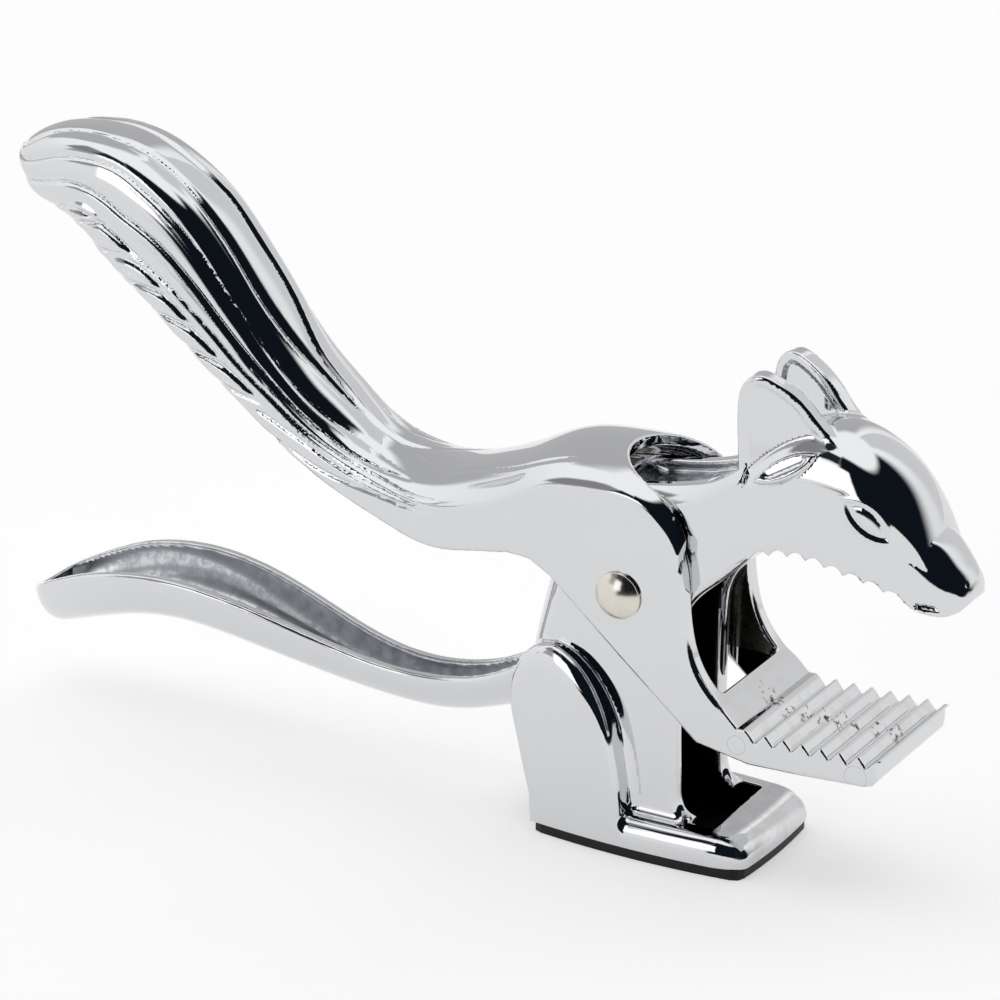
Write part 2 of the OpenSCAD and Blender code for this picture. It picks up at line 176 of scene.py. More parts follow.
# ---- arches ----
def arch(y, v, w, side, top):
    """Flat side up to height side, then an arch of height top. v is height, w half width."""
    q = np.maximum((v - side) / top, 0)
    a = np.abs(y) / w
    rho = np.sqrt(a * a + q * q) + 1e-9
    g = np.sqrt((a / w) ** 2 + (q / top) ** 2) + 1e-9
    return np.where(q > 0, (rho - 1) * rho / g, np.abs(y) - w)


def vault(y, v, w, side, top, taller, bend, blend):
    """Flat side up to height side, a crease, a steep arch, and a crown of radius bend."""
    # The arch is wider and starts lower than the flat side shows, so it leaves it at an angle.
    wider, hidden, crease = 1.05, 0.305, 0.15
    tall = top * taller
    base = tall * hidden / (1 - hidden)
    out = rmax(arch(y, v, w * wider, side - base, tall + base), np.abs(y) - w, crease)
    crown = (v - side - top + y * y / (2 * bend)) / np.sqrt(1 + (y / bend) ** 2)
    return rmax(out, crown, blend)


# ---- skin of a shape ----
BLOCK, BLOCK_SPARE = 4, 1.0  # cells to a block, and mm past its size where it still counts as near
ROOT_STEPS, ROOT_RIM = 4, 0.02
SLOPE_STEP = 0.02
HOLD, PAST_CELL = 0.06, 0.1  # pull to the mean crossing, and how far a vertex may leave its cell


def signs(f, axes, lo, n, h):
    """Values of f at the grid's nodes: true ones near the skin, only the sign elsewhere."""
    m = -(-n // BLOCK)
    cx = [lo[i] + h * BLOCK * (np.arange(m[i]) + 0.5) for i in range(3)]
    coarse = np.empty(m, np.float32)
    x, z = np.meshgrid(cx[0], cx[2], indexing="ij")
    for j in range(m[1]):
        coarse[:, j, :] = f(x, np.full_like(x, cx[1][j]), z)
    near = np.abs(coarse) < BLOCK * h + BLOCK_SPARE
    val = np.where(coarse < 0, -1, 1).astype(np.float32)
    for i in range(3):
        val, near = (np.repeat(q, BLOCK, axis=i).take(np.arange(n[i]), axis=i) for q in (val, near))
    for j in range(n[1]):  # one slice across at a time
        ix, iz = np.nonzero(near[:, j, :])
        if len(ix):
            val[ix, j, iz] = f(axes[0][ix], np.full(len(ix), axes[1][j]), axes[2][iz])
    return val


def crossings(f, val, a, lo, n, h):
    """Where the skin crosses the grid's edges along axis a, and the four cells round each edge."""
    b, c = (a + 1) % 3, (a + 2) % 3
    solid = val < 0
    s0, s1 = [slice(None)] * 3, [slice(None)] * 3
    s0[a], s1[a] = slice(0, -1), slice(1, None)
    cross = solid[tuple(s0)] != solid[tuple(s1)]
    for s in (b, c):  # edges on the grid's rim have no four cells
        for rim in (0, n[s] - 1):
            ring = [slice(None)] * 3
            ring[s] = rim
            cross[tuple(ring)] = False
    idx = np.argwhere(cross)
    up = idx.copy()
    up[:, a] += 1
    first = val[tuple(idx.T)]
    f0, f1 = first.astype(float), val[tuple(up.T)].astype(float)
    p0 = lo + h * idx
    t0, t1 = np.zeros(len(idx)), np.ones(len(idx))
    for _ in range(ROOT_STEPS):
        t = t0 + (t1 - t0) * f0 / (f0 - f1)
        t = np.clip(t, t0 + ROOT_RIM * (t1 - t0), t1 - ROOT_RIM * (t1 - t0))
        p = p0.copy()
        p[:, a] += h * t
        fm = f(p[:, 0], p[:, 1], p[:, 2])
        left = (fm < 0) == (f0 < 0)
        t0, f0 = np.where(left, t, t0), np.where(left, fm, f0)
        t1, f1 = np.where(left, t1, t), np.where(left, f1, fm)
    t = t0 + (t1 - t0) * f0 / (f0 - f1)
    p = p0.copy()
    p[:, a] += h * t
    four = np.stack([idx] * 4, axis=1)
    four[:, 1, b] -= 1
    four[:, 2, b] -= 1
    four[:, 2, c] -= 1
    four[:, 3, c] -= 1
    cells = (four * (n[1] * n[2], n[2], 1)).sum(-1)
    quads = cells.copy()
    flip = first > 0
    quads[flip] = quads[flip][:, ::-1]
    return p, cells, quads


def contour(f, lo, hi, h):
    """Skin of f = 0 as quads on a grid of cells of size h. Sharp edges are kept."""
    lo, hi = np.asarray(lo, float), np.asarray(hi, float)
    n = np.ceil((hi - lo) / h).astype(int) + 1
    axes = [lo[i] + h * np.arange(n[i]) for i in range(3)]
    val = signs(f, axes, lo, n, h)
    found = [crossings(f, val, a, lo, n, h) for a in range(3)]
    norms = np.concatenate([slope(f, p, SLOPE_STEP) for p, _, _ in found])
    pts, cells, quads = (np.concatenate(q) for q in zip(*found))
    used, inv = np.unique(cells.ravel(), return_inverse=True)
    inv = inv.reshape(-1)
    m = len(used)
    # Each cell's vertex is the point nearest the planes of its crossings, held near their mean.
    spots, planes = np.repeat(pts, 4, axis=0), np.repeat(norms, 4, axis=0)
    count = np.bincount(inv, minlength=m)
    mean = np.stack([np.bincount(inv, spots[:, i], m) for i in range(3)], 1) / count[:, None]
    d = (planes * (spots - mean[inv])).sum(1)
    lhs, rhs = np.zeros((m, 3, 3)), np.zeros((m, 3))
    for i in range(3):
        rhs[:, i] = np.bincount(inv, planes[:, i] * d, m)
        for j in range(i, 3):
            lhs[:, i, j] = lhs[:, j, i] = np.bincount(inv, planes[:, i] * planes[:, j], m)
    lhs += HOLD * np.eye(3)
    v = mean + np.linalg.solve(lhs, rhs[..., None])[..., 0]
    cell = np.stack([used // (n[1] * n[2]), (used % (n[1] * n[2])) // n[2], used % n[2]], 1)
    corner = lo + h * cell
    v = np.clip(v, corner - PAST_CELL * h, corner + (1 + PAST_CELL) * h)
    return v, np.searchsorted(used, quads)


def slope(f, p, e):
    """Unit normals of f at p."""
    g = np.empty_like(p)
    for i in range(3):
        a, b = p.copy(), p.copy()
        a[:, i] += e
        b[:, i] -= e
        g[:, i] = f(*a.T) - f(*b.T)
    return g / (np.linalg.norm(g, axis=1)[:, None] + TINY)


def corner_normals(f, v, quads, inset, e):
    """A normal for each corner of each quad, read a little way into its face."""
    mid = v[quads].mean(1)
    p = v[quads] * (1 - inset) + mid[:, None, :] * inset
    return slope(f, p.reshape(-1, 3), e)


# ---- tail lever: tail, saddle, cheeks and ribbed plate ----
def by_x(rows):
    """Each column of rows as a smooth function of the first."""
    r = np.asarray(rows, float)
    r = r[np.argsort(r[:, 0])]
    at = spline(r[:, 1:], r[:, 0])
    return lambda x: np.moveaxis(at(x), -1, 0)


# Stations along the tail: [crown x, crown z, lower edge x, lower edge z, half width share]
TAIL = [
    [8.4, 66.4, 8, 57, 1.0], [6.6, 71, 6.2, 57.4, 1.0], [4, 73.4, 3.4, 58.6, 1.0],
    [1, 74.6, 0.2, 61, 1.0], [-5, 75.6, -6, 64, 1.0], [-14, 75.6, -13, 62, 1.0],
    [-22, 74.3, -20, 58, 1.0], [-29, 71, -26, 55, 1.0], [-37, 67.5, -33, 53.6, 0.99],
    [-45, 65.2, -43.5, 52.2, 0.965], [-53, 65, -54, 54.5, 0.9], [-62, 67.6, -66.5, 59, 0.84],
    [-70.5, 74, -78, 65.8, 0.83], [-77, 80, -86.5, 72, 0.83], [-83, 88.2, -95.6, 79, 0.83],
    [-91.5, 99.7, -106.5, 88, 0.83], [-98.2, 107.2, -112, 92.2, 0.83],
    [-106, 112.7, -115.7, 95.3, 0.83], [-114.5, 116.2, -119.6, 99, 0.82],
    [-122, 117.1, -122.5, 101, 0.8], [-129, 116.5, -126, 102.4, 0.75],
    [-134.5, 114.8, -131, 103.8, 0.66], [-139.2, 111.6, -135.6, 106, 0.46],
    [-141, 109.6, -138.4, 107.8, 0.16],
]
# Side view of the cheeks and the plate, as x and z: down the front, under the jaw, up the rear
CHEEK_FRONT = [
    [-3, 69], [0.5, 68.8], [3.4, 67.6], [5.9, 65.2], [7.7, 62.2], [8.9, 58.4], [9.5, 53.5],
    [10.2, 46.9], [11.7, 41.4], [14.4, 37], [17.4, 34],
]
CHEEK_REAR = [
    [-3.1, 39], [-18.1, 52], [-22.4, 54.4], [-28, 54.8], [-31, 57.5], [-27.5, 62.6],
    [-23.9, 64.8], [-16.7, 67.6], [-7.4, 68.8],
]
JAW_UNDER = [[48.45, 26.6], [47.6, 25.4], [46, 24.9], [34, 24.2], [23, 23.9], [12.5, 25.8]]
# Rear face of the plate, where the room between the cheeks begins
PLATE_REAR = [[17.6, 38.4], [15.2, 34], [13.4, 22]]
# Ridges of the plate: distance, first crest, number and depth
PITCH, RIDGE_X, RIDGE_Z, RIDGE_N, RIDGE_D = 3.7, 22.6, 30.8, 7, 1.9
TAIL_WALL, TAIL_SOLID = 2.6, 22  # thickness round the hollow, and length of the solid tip
TAIL_EDGE, MOUTH_EDGE, SLOT_EDGE = 1.0, 0.6, 1.0
SADDLE_REAR, SADDLE_LOW = -7.5, 55  # rear end and lower end of the slot that the neck rises through


def station_fields(stations, step, n=700):
    """Height over the lower edge, and each station value, at every point of the side view.

    The stations are joined by a curve, and n cross lines along it are tried at each point.
    """
    s = np.asarray(stations, float)
    mid = (s[:, 0:2] + s[:, 2:4]) / 2
    u = np.concatenate([[0], np.cumsum(np.hypot(*np.diff(mid, axis=0).T))])
    at = spline(s, u)
    t = np.linspace(0, u[-1], n)
    q = at(t)
    low, up = q[:, 2:4], q[:, 0:2] - q[:, 2:4]
    depth = np.hypot(*up.T)
    d = up / depth[:, None]
    gx, gz = lattice(step)
    px, pz = gx.ravel(), gz.ravel()
    best = np.full(px.shape, FAR)
    found = np.zeros(px.shape)
    prev = None
    for i in range(n):
        rx, rz = px - low[i, 0], pz - low[i, 1]
        c = rx * d[i, 1] - rz * d[i, 0]
        if prev is not None:
            hit = (c * prev <= 0)
            v = rx * d[i, 0] + rz * d[i, 1]
            far = np.abs(v - depth[i] / 2)
            use = hit & (far < best)
            if use.any():
                k = np.abs(prev[use]) / (np.abs(prev[use]) + np.abs(c[use]) + TINY)
                found[use] = t[i - 1] + k * (t[i] - t[i - 1])
                best[use] = far[use]
        prev = c
    lost = best > LOST
    if lost.any():  # past an end: nearest of the two end stations
        e0 = np.hypot(px[lost] - mid[0, 0], pz[lost] - mid[0, 1])
        e1 = np.hypot(px[lost] - mid[-1, 0], pz[lost] - mid[-1, 1])
        found[lost] = np.where(e0 < e1, 0, u[-1])
    q = at(found)
    up = q[:, 0:2] - q[:, 2:4]
    depth = np.hypot(*up.T)
    d = up / depth[:, None]
    v = (px - q[:, 2]) * d[:, 0] + (pz - q[:, 3]) * d[:, 1]
    past = np.abs((px - q[:, 2]) * d[:, 1] - (pz - q[:, 3]) * d[:, 0])
    out = {"v": v, "t": found, "depth": depth, "w": q[:, 4] * HW, "past": past}
    return {k: Field(a.reshape(gx.shape), step) for k, a in out.items()}, u[-1]


LOST = 60  # mm from every cross line


# Height of the flat side along the tail, both in mm, from the saddle's front to the tip
SIDE = [
    [0, 3.6], [7.5, 7.9], [12.1, 7.0], [18.3, 5.7], [27.6, 8.3], [35.5, 9.3], [40.1, 8.6], [44.7, 7.6],
    [49.1, 7.0], [56.8, 6.9], [65, 5.2], [77, 4.2], [85, 4.3], [91.5, 4.9], [98, 5.3], [108, 5.8],
    [115, 6.5], [122, 6.6], [134, 6.1], [145, 5.4], [156, 3.6], [165, 2.4], [170, 1.5],
]


# Lines between the locks of fur, from the tip of the tail: [mm along, mm round the section].
# The first is the uppermost.
LOCKS = [
    [[172, 7.6], [168, 8.6], [164.8, 10.3], [159.7, 14.4], [154.7, 17.7], [148.9, 19.5], [144.9, 21],
     [139.9, 22.4], [135.2, 22.4], [130.4, 21.9], [124.9, 21.5], [112.6, 19.5], [107.8, 18.9],
     [99.6, 18.6], [94.7, 18.6], [89.5, 18.4], [84.7, 18.3], [76.6, 18.2], [70.6, 18.5], [65.1, 18.6],
     [55.2, 18.4], [42.5, 18.6], [28.7, 17.3], [20, 16.2]],
    [[172, 5.2], [167, 6.2], [162.7, 7.6], [157.7, 10.3], [152.8, 12.1], [148.7, 13.6], [145.5, 14.7],
     [140.5, 15.5], [136.8, 15.8], [132.8, 15.9], [128, 15.9], [124.3, 15.7], [115.6, 14.7], [109, 14],
     [102.7, 13.3], [96.9, 12.8], [90.8, 12.4], [82.6, 12.8], [78, 13.4]],
    [[172, 0.6], [166, 1.8], [162, 3.4], [155.9, 6.3], [149.1, 8.3], [144.9, 9.2], [140.4, 9.8],
     [133.5, 10.9], [127.7, 11.3], [122.5, 11.3], [117.5, 11.1], [112.8, 10.7], [108.2, 10.3],
     [103.3, 10], [98.1, 9.8], [92.7, 9.4], [85.4, 9.3], [78.6, 9.6], [71.7, 10.4], [62.7, 12.7]],
    [[172, -2], [162, -0.6], [156.3, 1.4], [144.6, 4.8], [134.2, 6.2], [128.5, 6.6], [124.4, 7],
     [120, 7.2], [115.2, 7.3], [110.7, 7.2], [105.6, 6.8], [101, 6.6], [96.9, 6.7], [92.2, 6.7],
     [84.6, 7.2], [76.7, 8.1], [65.2, 9.1], [54.9, 10.7]],
    [[100, -2.5], [92, -0.4], [88.9, 0.6], [80.7, 2], [74.2, 3.4], [67, 5], [60, 6.6], [53, 8.2]],
    [[96, 2.4], [90, 3.6], [84, 4.6], [76, 5.6], [68, 6.8], [60, 8.2], [55, 9.2]],
]
# Where each line is full and where it has faded: [tip end, start of fade, end of fade]
LOCK_FADE = [[170, 66, 20], [170, 88, 79], [170, 70, 61], [164, 62, 53], [98, 62, 54], [94, 62, 55]]
FUR_REACH = 2.0  # mm from the skin within which the fur is added
LOCK_LIFT = (0.42, 0.4, 0.34)  # how far the three upper locks bulge between their lines
# Raised pads along the lower edge: [mm along, mm round, half length, half width, slope]
TUFTS = [
    [149.6, 3.3, 6.4, 1.9, -0.36], [141.2, 3.2, 6.8, 1.9, -0.32], [130.6, 2.9, 7.2, 1.95, -0.3],
    [121.8, 2.6, 6.6, 1.85, -0.27], [113.4, 2.2, 6.8, 1.8, -0.26], [104.4, 2.1, 7.2, 1.7, -0.24],
]


class Relief:
    """Height of the fur over the plain tail, on a table of length along and height round."""

    LENGTH, LOW, HIGH = 175, -4, 36

    def __init__(self, step=0.1):
        self.step = step
        along = np.arange(0, self.LENGTH, step)
        round_ = np.arange(self.LOW, self.HIGH, step)
        u, r = np.meshgrid(along, round_, indexing="ij")
        lines = []
        for line in LOCKS:
            ends = [p[0] for p in line]
            lines.append(by_x(line)(np.clip(along, min(ends), max(ends)))[0])
        h = self.locks(along, r, lines)
        for i, (line, fade) in enumerate(zip(lines, LOCK_FADE)):
            h += self.groove(along, r, line, fade, first=i == 0)
        for tuft in TUFTS:
            h += self.tuft(u, r, *tuft)
        self.v = h.astype(np.float32)

    def locks(self, along, r, lines):
        """The bulge of each lock between two lines, and the crown over the first."""
        full = (ease(along, 60, 84) * (1 - ease(along, 164, 170)))[:, None]
        h = 0.25 * full * ease(r - lines[0][:, None], 0, 2.0)
        for above, below, lift in zip(lines, lines[1:], LOCK_LIFT):
            mid = ((above + below) / 2)[:, None]
            half = np.maximum((above - below) / 2, 0.8)[:, None]
            x = (r - mid) / half
            h += np.where(np.abs(x) < 1, lift * (1 - x * x), 0) * full
        return h

    def groove(self, along, r, line, fade, first):
        """A sharp line with a slight swelling below it."""
        tip, start, end = fade
        d = (r - line[:, None]) / np.sqrt(1 + np.gradient(line, self.step) ** 2)[:, None]
        section = 0.1 * np.exp(-((d + 0.95) / 0.4) ** 2) - 0.34 * np.exp(-(d / 0.42) ** 2)
        here = ease(along, end, start) * (1 - ease(along, tip, tip + 3))
        if first:  # over the hump only a faint crease goes on
            here = ease(along, 20, 30) * (0.3 + 0.7 * ease(along, 58, 72))
            here *= 1 - ease(along, 167, 171)
        return section * here[:, None]

    def tuft(self, u, r, cu, cr, half_length, half_width, lean):
        """Leaf with a rim and a middle furrow, blunt at the low edge, pointed to the body."""
        c, s = math.cos(lean), math.sin(lean)
        du, dr = u - cu, r - cr
        a, b = (du * c + dr * s) / half_length, (-du * s + dr * c) / half_width
        d = (np.sqrt(a * a + b * b * (1 + 1.3 * np.clip(-a, 0, 1) ** 2)) - 1) * half_width
        pad = 0.4 * (1 - ease(d, -1.0, -0.1)) - 0.3 * np.exp(-((d - 0.15) / 0.4) ** 2)
        furrow = 0.22 * np.exp(-(b / 0.3) ** 2) * (1 - ease(np.abs(a), 0.35, 0.7))
        return pad - furrow

    def __call__(self, u, r):
        a = np.clip(u / self.step, 0, self.v.shape[0] - 1.01)
        b = np.clip((r - self.LOW) / self.step, 0, self.v.shape[1] - 1.01)
        i, k = a.astype(int), b.astype(int)
        a, b = a - i, b - k
        v = self.v
        return ((v[i, k] * (1 - b) + v[i, k + 1] * b) * (1 - a)
                + (v[i + 1, k] * (1 - b) + v[i + 1, k + 1] * b) * a)


def ridge_line():
    """Side view of the plate's top: ridges with a slightly blunt crest and root."""
    blunt, drop, root = 0.35, 0.22, RIDGE_D - 0.12
    line = [[RIDGE_X - 1.8, RIDGE_Z - 0.1], [RIDGE_X - 0.25, RIDGE_Z - 0.02]]
    for i in range(RIDGE_N):
        x, z = RIDGE_X + i * PITCH, RIDGE_Z - 0.35 + 0.05 * i
        if i:
            line += [[x - blunt, z - drop], [x - 0.12, z], [x + 0.12, z]]
        line += [[x + blunt, z - drop], [x + PITCH / 2 - 0.2, z - root],
                 [x + PITCH / 2 + 0.2, z - root]]
    end = RIDGE_X + RIDGE_N * PITCH
    return line + [[end - 0.4, RIDGE_Z - 0.4], [end, RIDGE_Z - 0.1], [end + 0.8, RIDGE_Z - 0.2],
                   [48.4, RIDGE_Z - 0.6]]


def bored(shape, x, z):
    """shape with the rivet's bore through it."""
    return cut(shape, np.hypot(x - PIVOT[0], z - PIVOT[1]) - BORE_R, BORE_EDGE)


class Lever:
    """Tail lever casting."""

    def __init__(self, step=0.5):
        self.f, self.length = station_fields(TAIL, step)
        self.side = by_x(SIDE)
        front = curve(CHEEK_FRONT, 50)
        loop = np.vstack([front, ridge_line(), JAW_UNDER, CHEEK_REAR])
        self.outline = outline_field(loop, step / 2)
        self.throat = outline_field(PLATE_REAR + [[-60, 22], [-60, 90], [17.6, 90]], step)
        self.relief = Relief()

    def tail(self, x, y, z):
        """The tail's outside with its fur, and its hollow."""
        f = {k: a(x, z) for k, a in self.f.items()}
        v, w, t = f["v"], f["w"], f["t"]
        side = np.minimum(self.side(np.clip(t, 0, SIDE[-1][0] - 0.3))[0], 0.8 * f["depth"])
        top = np.maximum(f["depth"] - side, 0.5)
        soft = rmax(arch(y, v, w * 1.035, side - 0.06 * top, top * 1.06), np.abs(y) - w, 0.2)
        tall = vault(y, v, w, side, top - 0.3, 1.6, 24, 1.2)
        squarer = ease(t, 45, 75) * (1 - ease(t, 152, 168))  # in the middle of the tail
        skin = soft + squarer * (tall - soft)
        theta = np.arctan2(np.maximum((v - side) / top, 0), np.abs(y) / w)
        r = np.where(v < side, v, side + theta * (w + top) / 2)
        near = np.abs(skin) < FUR_REACH
        skin[near] -= self.relief(t[near], r[near])
        skin = rmax(skin, -v, TAIL_EDGE)
        skin = rmax(skin, f["past"] - 0.3, 0.3)
        inner = arch(y, v, np.maximum(w - TAIL_WALL, 0.3 * w), side,
                     np.maximum(top - TAIL_WALL, 0.3 * top))
        return skin, np.maximum(inner, t - (self.length - TAIL_SOLID))

    def slot(self, x, y, z):
        """Round-ended slot in the saddle, open to the front."""
        r = CHEEK_IN + 0.05
        plan = np.hypot(np.minimum(x - SADDLE_REAR - CHEEK_IN, 0), y) - r
        return np.maximum(plan, SADDLE_LOW - z)

    def __call__(self, x, y, z):
        a = np.abs(y)
        skin, inner = self.tail(x, y, z)
        # The outer edge is rounder over the saddle's front and sharper at the ridges' ends.
        edge = 1.0 + 1.6 * ease(z, 58, 66) * ease(x, -6, 2)
        edge -= 0.7 * ease(x, 16, 18.5) * ease(z, 26.6, 28)
        plate = rmax(self.outline(x, z), a - HW + 0.02, edge)
        plate = cut(plate, rmax(self.throat(x, z), a - CHEEK_IN, 1.0), 0.7)
        tail = cut(cut(skin, inner, MOUTH_EDGE), self.slot(x, y, z), SLOT_EDGE)
        return bored(np.minimum(tail, plate), x, z)

    def rough_and_shade_at(self, x, y, z):
        """1 on the unpolished inside faces, 0 outside. lever_chrome paints them dark brown, partly as
        their own colour and partly as painted shade.
        """
        skin, inner = self.tail(x, y, z)
        hollow = (inner < 0.25) & (skin < -0.8)
        wall = (np.abs(self.slot(x, y, z)) < 0.3) & (skin < -0.4)
        cheek = np.abs(np.abs(y) - CHEEK_IN) < 0.15
        cheek &= (self.outline(x, z) < -0.6) & (z > 34)
        return (hollow | wall | cheek).astype(float)


# ---- body casting: foot, thighs, torso, neck, head and lower handle ----
# Lower handle: [x, rim z, underside z, half width]
HANDLE = [
    [-20, 34, 19, 9], [-25, 31.5, 19.5, 8.4], [-31, 27.8, 18.6, 7.2],
    [-38, 24.2, 16.2, 6.2], [-48, 21.8, 13.9, 5.4], [-58, 21.6, 13.8, 5.5],
    [-68, 23.3, 14.7, 6.3], [-80, 26.6, 16.5, 7.9], [-92, 29.6, 18.5, 9.4],
    [-104, 31, 19.8, 10.3], [-114, 30.4, 19, 10.6], [-124, 28, 16.4, 10.2],
    [-132, 24.6, 13.8, 8.6], [-138, 21.4, 14, 5.6], [-141, 19.4, 17.2, 2],
]
# Side view of the torso and neck, up the back and down the throat
NECK_TOP = [
    [-27, 8], [-27, 28], [-25.8, 36], [-22.8, 48.5], [-20.6, 57], [-16, 64.6],
    [-8.5, 69.8], [0, 71.4], [8, 73.2], [13, 75.2], [19, 79.5],
]
NECK_UNDER = [
    [21, 62.4], [14, 55.5], [9.4, 51], [7.4, 47], [6.8, 42], [6.8, 14], [7.6, 9.5], [9.5, 7],
]
# [x, top of the flat side z, crown z]
SHOULDERS = [
    [-28, 58, 67], [-12, 63, 73], [0, 65.2, 74], [7.7, 67.5, 75.8], [13.7, 71.2, 79], [19.5, 75.4, 83],
]
# Brow: [x, top of the flat side z, crown z, half width share]
HEAD = [
    [16, 72.5, 77.5, 0.995], [20, 75.4, 81.5, 0.995], [25, 78, 85.3, 0.995],
    [30, 79, 87.4, 0.995], [35, 78.9, 87.7, 0.995], [40, 78, 86.3, 0.98], [44, 76.5, 83.9, 0.945],
    [47.5, 74.2, 80.6, 0.88], [50, 72, 77.1, 0.815], [52, 69.6, 73.2, 0.75],
    [53.6, 66.6, 69.2, 0.68], [55, 62.5, 64.5, 0.6],
]
# Side views of an ear, a thigh and the flat part of its side
EAR = [
    [17.4, 74], [17.1, 84], [17, 90.6], [18, 94.4], [20.6, 96.3], [23.8, 95.6], [29.2, 92],
    [33.9, 87], [37.4, 83], [35, 79], [26, 77],
]
THIGH = [
    [-2, 4], [-2.4, 10], [-3.4, 17], [-5.6, 25.5], [-9.4, 32.2], [-13.8, 36.3], [-18.5, 37.9],
    [-22.6, 36.4], [-25.6, 32.5], [-26.8, 27], [-25.7, 20], [-23.9, 12], [-21.8, 4],
]
THIGH_FLAT = [
    [-3.2, 4], [-3.4, 10], [-4.2, 17], [-6.6, 24.6], [-9.8, 29.4], [-13.6, 31.8], [-17.6, 32.5],
    [-21, 32.4], [-23.4, 31], [-25.2, 26.5], [-25.2, 20], [-23.7, 12], [-21.7, 4],
]
# Tips between the scallops under the head
TIPS = [
    [17, 60.2], [20.6, 62.0], [24.1, 63.4], [28.2, 64.1], [31.9, 64.1], [35.5, 63.5], [39.6, 62.7],
    [43, 62.0], [46.5, 60.9], [50.2, 59.2],
]
# Snout: [x, underside z, top of the flat side z, crown z, half width share]
SNOUT = [
    [46, 62.0, 67.6, 72.5, 0.86], [49, 60.4, 67.4, 71.8, 0.83], [51.5, 58.5, 66.5, 71.0, 0.78],
    [53.5, 57.65, 64.5, 70.1, 0.72], [55.5, 57.3, 62.9, 68.4, 0.655], [57.5, 57.5, 62.0, 66.0, 0.58],
    [58.9, 58.1, 61.3, 64.3, 0.485], [59.9, 59.0, 60.6, 62.6, 0.38], [60.6, 60, 60.2, 61, 0.2],
]
# Side views of the room inside the torso and the gutter behind the neck
HOLLOW = [
    [-21.5, 6.5], [-21.5, 34], [-17.5, 52], [-12, 60], [-5, 64.5], [6, 66.5], [14, 67.5],
    [18, 66], [22, 62], [30, 40], [30, 6.5],
]
CHANNEL = [[-12, 80], [-10, 69.8], [-4, 68.8], [6, 70.5], [14, 73.2], [17.6, 76], [17.6, 90]]
GUTTER_HW = 5.2
EYE = (43.0, 73.8, math.radians(-37))  # x, z and lean of the eye
EYE_LONG, EYE_LOW, EYE_BOW = 5.8, 4.6, 7.4  # an almond is two arcs: half length, sink, radius
LEAF = (27.4, 10.1, 80.6, math.radians(34), math.radians(32))  # x, y, z, lean and tilt
LEAF_LOW, LEAF_BOW = 9.6, 11.6
EAR_ROOT, EAR_SPLAY, EAR_THICK = (17.6, TORSO_HW - 1.5), math.radians(9), 3.5
NOSTRIL = (59.4, 3.0, 62.6)
HANDLE_ENDS, HANDLE_WALL, HANDLE_RIM = (-141, -20), 2.2, 0.9
TROUGH_ENDS = (-136.5, -26)
FOOT_REAR, FOOT_BOW, FOOT_BULGE = -21.7, 0.6, 1.2
FOOT_ROLL = (7.8, 3.4, 5.1)  # reach of the foot's round edge along x, y and z
FOOT_POWER = 2.5  # 2 is an ellipse, more is squarer
SOLE_TOP, PIT_TOP = 2.0, 9.3
THIGH_ROLL = 2.6  # reach of the thigh's round edge in from its side


def bulge(x):
    """How far the foot's long sides bow outwards."""
    return FOOT_BULGE * (1 - np.clip(x / 20.2, -1, 1) ** 2)


